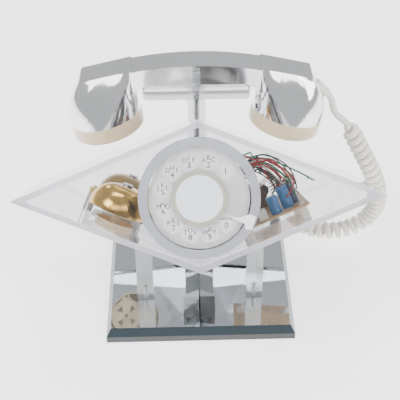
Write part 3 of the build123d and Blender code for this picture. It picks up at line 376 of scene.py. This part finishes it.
black_plastic = finish("black_plastic", (0.015, 0.015, 0.016), 0.25, spread=0.2)
dark_rubber = finish("dark_rubber", (0.02, 0.02, 0.022), 0.5, spread=0.2)
board_tan = finish(
    "board_tan", (0.50, 0.30, 0.13), 0.45, spread=0.15, grain=120.0,
    stain=(0.30, 0.19, 0.09), stain_scale=90.0
)
blue_sleeve = finish("blue_sleeve", (0.03, 0.16, 0.38), 0.25, spread=0.1)
dark_sleeve = finish("dark_sleeve", (0.01, 0.03, 0.10), 0.25, spread=0.1)
coil_tape = finish("coil_tape", (0.10, 0.05, 0.025), 0.4, spread=0.2)
red_wire = finish("red_wire", (0.45, 0.02, 0.015), 0.35, spread=0.1)
green_wire = finish("green_wire", (0.015, 0.22, 0.06), 0.35, spread=0.1)
ink = finish("ink", (0.001, 0.001, 0.001), 0.8, spread=0.2)

LOOKS = {
    "base_slab": black_acrylic,
    "mirror_plate": mirror,
    "base_screws": black_plastic,
    "post_left": support_acrylic,
    "post_right": support_acrylic,
    "rear_block": support_acrylic,
    "sheet_upper_right": clear_acrylic,
    "sheet_lower_right": clear_acrylic,
    "sheet_lower_left": clear_acrylic,
    "sheet_upper_left": clear_acrylic,
    "front_panel": panel_acrylic,
    "back_panel": panel_acrylic,
    "cord_grommet": dark_rubber,
    "line_jack": ivory,
    "column": support_acrylic,
    "cradle_bar": support_acrylic,
    "cradle_prongs": support_acrylic,
    "hook_plunger": grey_plastic,
    "hook_switch": grey_plastic,
    "plunger_spring": steel,
    "handset_shell": chrome,
    "receiver_cap": cream,
    "mouthpiece_cap": cream,
    "handset_capsules": aluminium,
    "cord_gland": cord_jacket,
    "dial_ring": ring_acrylic,
    "dial_case": case_metal,
    "number_plate": white_plastic,
    "finger_stop": white_plastic,
    "finger_wheel": wheel_acrylic,
    "dial_card": number_card,
    "card_ring": taupe,
    "dial_shaft": steel,
    "main_gear": brass,
    "pulse_gear": brass,
    "governor": steel,
    "dial_bridge": steel,
    "return_spring": steel,
    "pulse_contacts": black_plastic,
    "ringer_frame": steel,
    "ringer_coil": coil_tape,
    "clapper_pivot": steel,
    "clapper": brass,
    "gong_bases": cream,
    "gong_front": gong_brass,
    "gong_rear": dull_brass,
    "gong_screws": steel,
    "network_board": board_tan,
    "board_spacers": ivory,
    "board_screws": steel,
    "capacitors_blue": blue_sleeve,
    "capacitors_dark": dark_sleeve,
    "induction_coil": coil_tape,
    "terminal_blocks": ivory,
    "wires_red": red_wire,
    "wires_green": green_wire,
    "wires_dark": dark_rubber,
}
for node_name, look in LOOKS.items():
    node = nodes[node_name]
    node.data.materials.clear()
    node.data.materials.append(look)
cord.data.materials.append(cord_jacket)

# ---------------------------------------------------------------- dial lettering
DIAL_CENTRE = Vector((0.0, -0.077788, 0.16043))
PLATE_TOP = 0.0034
LETTER_THICKNESS = 0.00004
FINGER_CIRCLE = 0.0289
LABELS = (
    ("", "1"), ("ABC", "2"), ("DEF", "3"), ("GHI", "4"), ("JKL", "5"),
    ("MNO", "6"), ("PRS", "7"), ("TUV", "8"), ("WXY", "9"), ("OPERATOR", "0"),
)


def lettering(name, words, x, y, size):
    """Thin raised letters on the number plate, centred at x and y."""
    text = bpy.data.curves.new(name, "FONT")
    text.body = words
    text.size = size
    text.align_x = "CENTER"
    text.align_y = "CENTER"
    text.extrude = LETTER_THICKNESS
    text.materials.append(ink)
    made = bpy.data.objects.new(name, text)
    height = PLATE_TOP + LETTER_THICKNESS
    place = DIAL_CENTRE + dial_across * x + dial_up * y + dial_out * height
    axes = Matrix((dial_across, dial_up, dial_out)).transposed().to_4x4()
    made.matrix_world = Matrix.Translation(place) @ axes
    bpy.context.scene.collection.objects.link(made)
    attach(made, "telephone")


FIRST_HOLE = 45
HOLE_STEP = 30
LETTER_SIZE = 0.0052
DIGIT_SIZE = 0.0066
LONE_DIGIT_SIZE = 0.0070
LONG_WORD_SIZE = 0.0022
LONG_WORD_RISE = 0.0040
DIGIT_DROP = 0.0024
LONG_WORD_DIGIT_DROP = 0.0012
LETTER_OFFSETS = ((-0.0035, 0.0014), (0.0, 0.0030), (0.0035, 0.0014))
for index, (letters, digit) in enumerate(LABELS):
    angle = radians(FIRST_HOLE + HOLE_STEP * index)
    x = FINGER_CIRCLE * cos(angle)
    y = FINGER_CIRCLE * sin(angle)
    if len(letters) == 3:
        for letter, (across, above) in zip(letters, LETTER_OFFSETS):
            lettering(f"letter_{digit}_{letter}", letter, x + across, y + above, LETTER_SIZE)
        lettering(f"digit_{digit}", digit, x, y - DIGIT_DROP, DIGIT_SIZE)
    elif letters:
        lettering(f"letters_{digit}", letters, x, y + LONG_WORD_RISE, LONG_WORD_SIZE)
        lettering(f"digit_{digit}", digit, x, y - LONG_WORD_DIGIT_DROP, DIGIT_SIZE)
    else:
        lettering(f"digit_{digit}", digit, x, y, LONE_DIGIT_SIZE)

# ---------------------------------------------------------------- extra loops in the wire tangle
FACE_CENTRE = Vector((0.0, -0.080293, 0.162082))
LOOP_RADIUS = 0.0006
LOOP_COUNT = 22
LOOP_SIDES = 8
LOOP_COLOURS = ("red", "green", "dark", "white", "red", "dark")
loop_looks = {"red": red_wire, "green": green_wire, "dark": dark_rubber, "white": ivory}


def in_body(across, up, depth):
    """A point inside the body, across and up its face and behind it."""
    return FACE_CENTRE + dial_across * across + dial_up * up - dial_out * depth


for index in range(LOOP_COUNT):
    share = index / (LOOP_COUNT - 1)
    sway = sin(index * 2.4)
    lift = cos(index * 1.7)
    corners = (
        in_body(0.070 + 0.012 * sway, -0.004 + 0.006 * share, 0.030 + 0.055 * share),
        in_body(0.072 + 0.008 * lift, 0.008 + 0.004 * sway, 0.034 + 0.050 * share),
        in_body(0.060 + 0.009 * lift, 0.019 + 0.005 * sway, 0.038 + 0.045 * share),
        in_body(0.047 + 0.006 * sway, 0.024 + 0.006 * lift, 0.040 + 0.040 * share),
        in_body(0.036 + 0.010 * lift, 0.014 + 0.010 * sway, 0.046 + 0.036 * share),
        in_body(0.030, 0.002 + 0.010 * lift, 0.052 + 0.030 * share),
    )
    colour_name = LOOP_COLOURS[index % len(LOOP_COLOURS)]
    path = smooth_route("loop_route", corners, 6)
    loop = tube(f"wire_loop_{index:02d}", path, LOOP_RADIUS, sides=LOOP_SIDES)
    loop.data.materials.append(loop_looks[colour_name])
    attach(loop, "telephone")

# ---------------------------------------------------------------- studio
FLOOR_SIZE = 30.0
bpy.ops.mesh.primitive_plane_add(size=FLOOR_SIZE, location=(0, 0, 0))
floor = bpy.context.object
floor.name = "floor"
floor.data.materials.append(
    finish("floor_paint", (0.9, 0.9, 0.9), 0.7, grain=3.0, spread=0.005, glow=2.0)
)


def softbox(name, place, aim, width, depth, power):
    """A rectangular area light turned to face a point."""
    light = bpy.data.lights.new(name, "AREA")
    light.shape = "RECTANGLE"
    light.size = width
    light.size_y = depth
    light.energy = power
    made = bpy.data.objects.new(name, light)
    made.location = place
    direction = Vector(aim) - Vector(place)
    made.rotation_euler = direction.to_track_quat("-Z", "Y").to_euler()
    bpy.context.scene.collection.objects.link(made)


TARGET = (0, 0, 0.12)
softbox("key", (-0.8, -0.4, 1.2), TARGET, 0.6, 0.6, 16.0)
softbox("fill", (0.9, -0.7, 0.9), TARGET, 0.6, 0.9, 9.0)
softbox("back", (0.1, 0.7, 2.0), TARGET, 1.0, 0.5, 14.0)
softbox("front", (0.0, -1.0, 1.25), TARGET, 1.5, 0.5, 10.0)

world = bpy.data.worlds.new("studio")
world.use_nodes = True
background = world.node_tree.nodes["Background"]
background.inputs["Color"].default_value = (0.92, 0.93, 0.95, 1.0)
background.inputs["Strength"].default_value = 0.75
bpy.context.scene.world = world
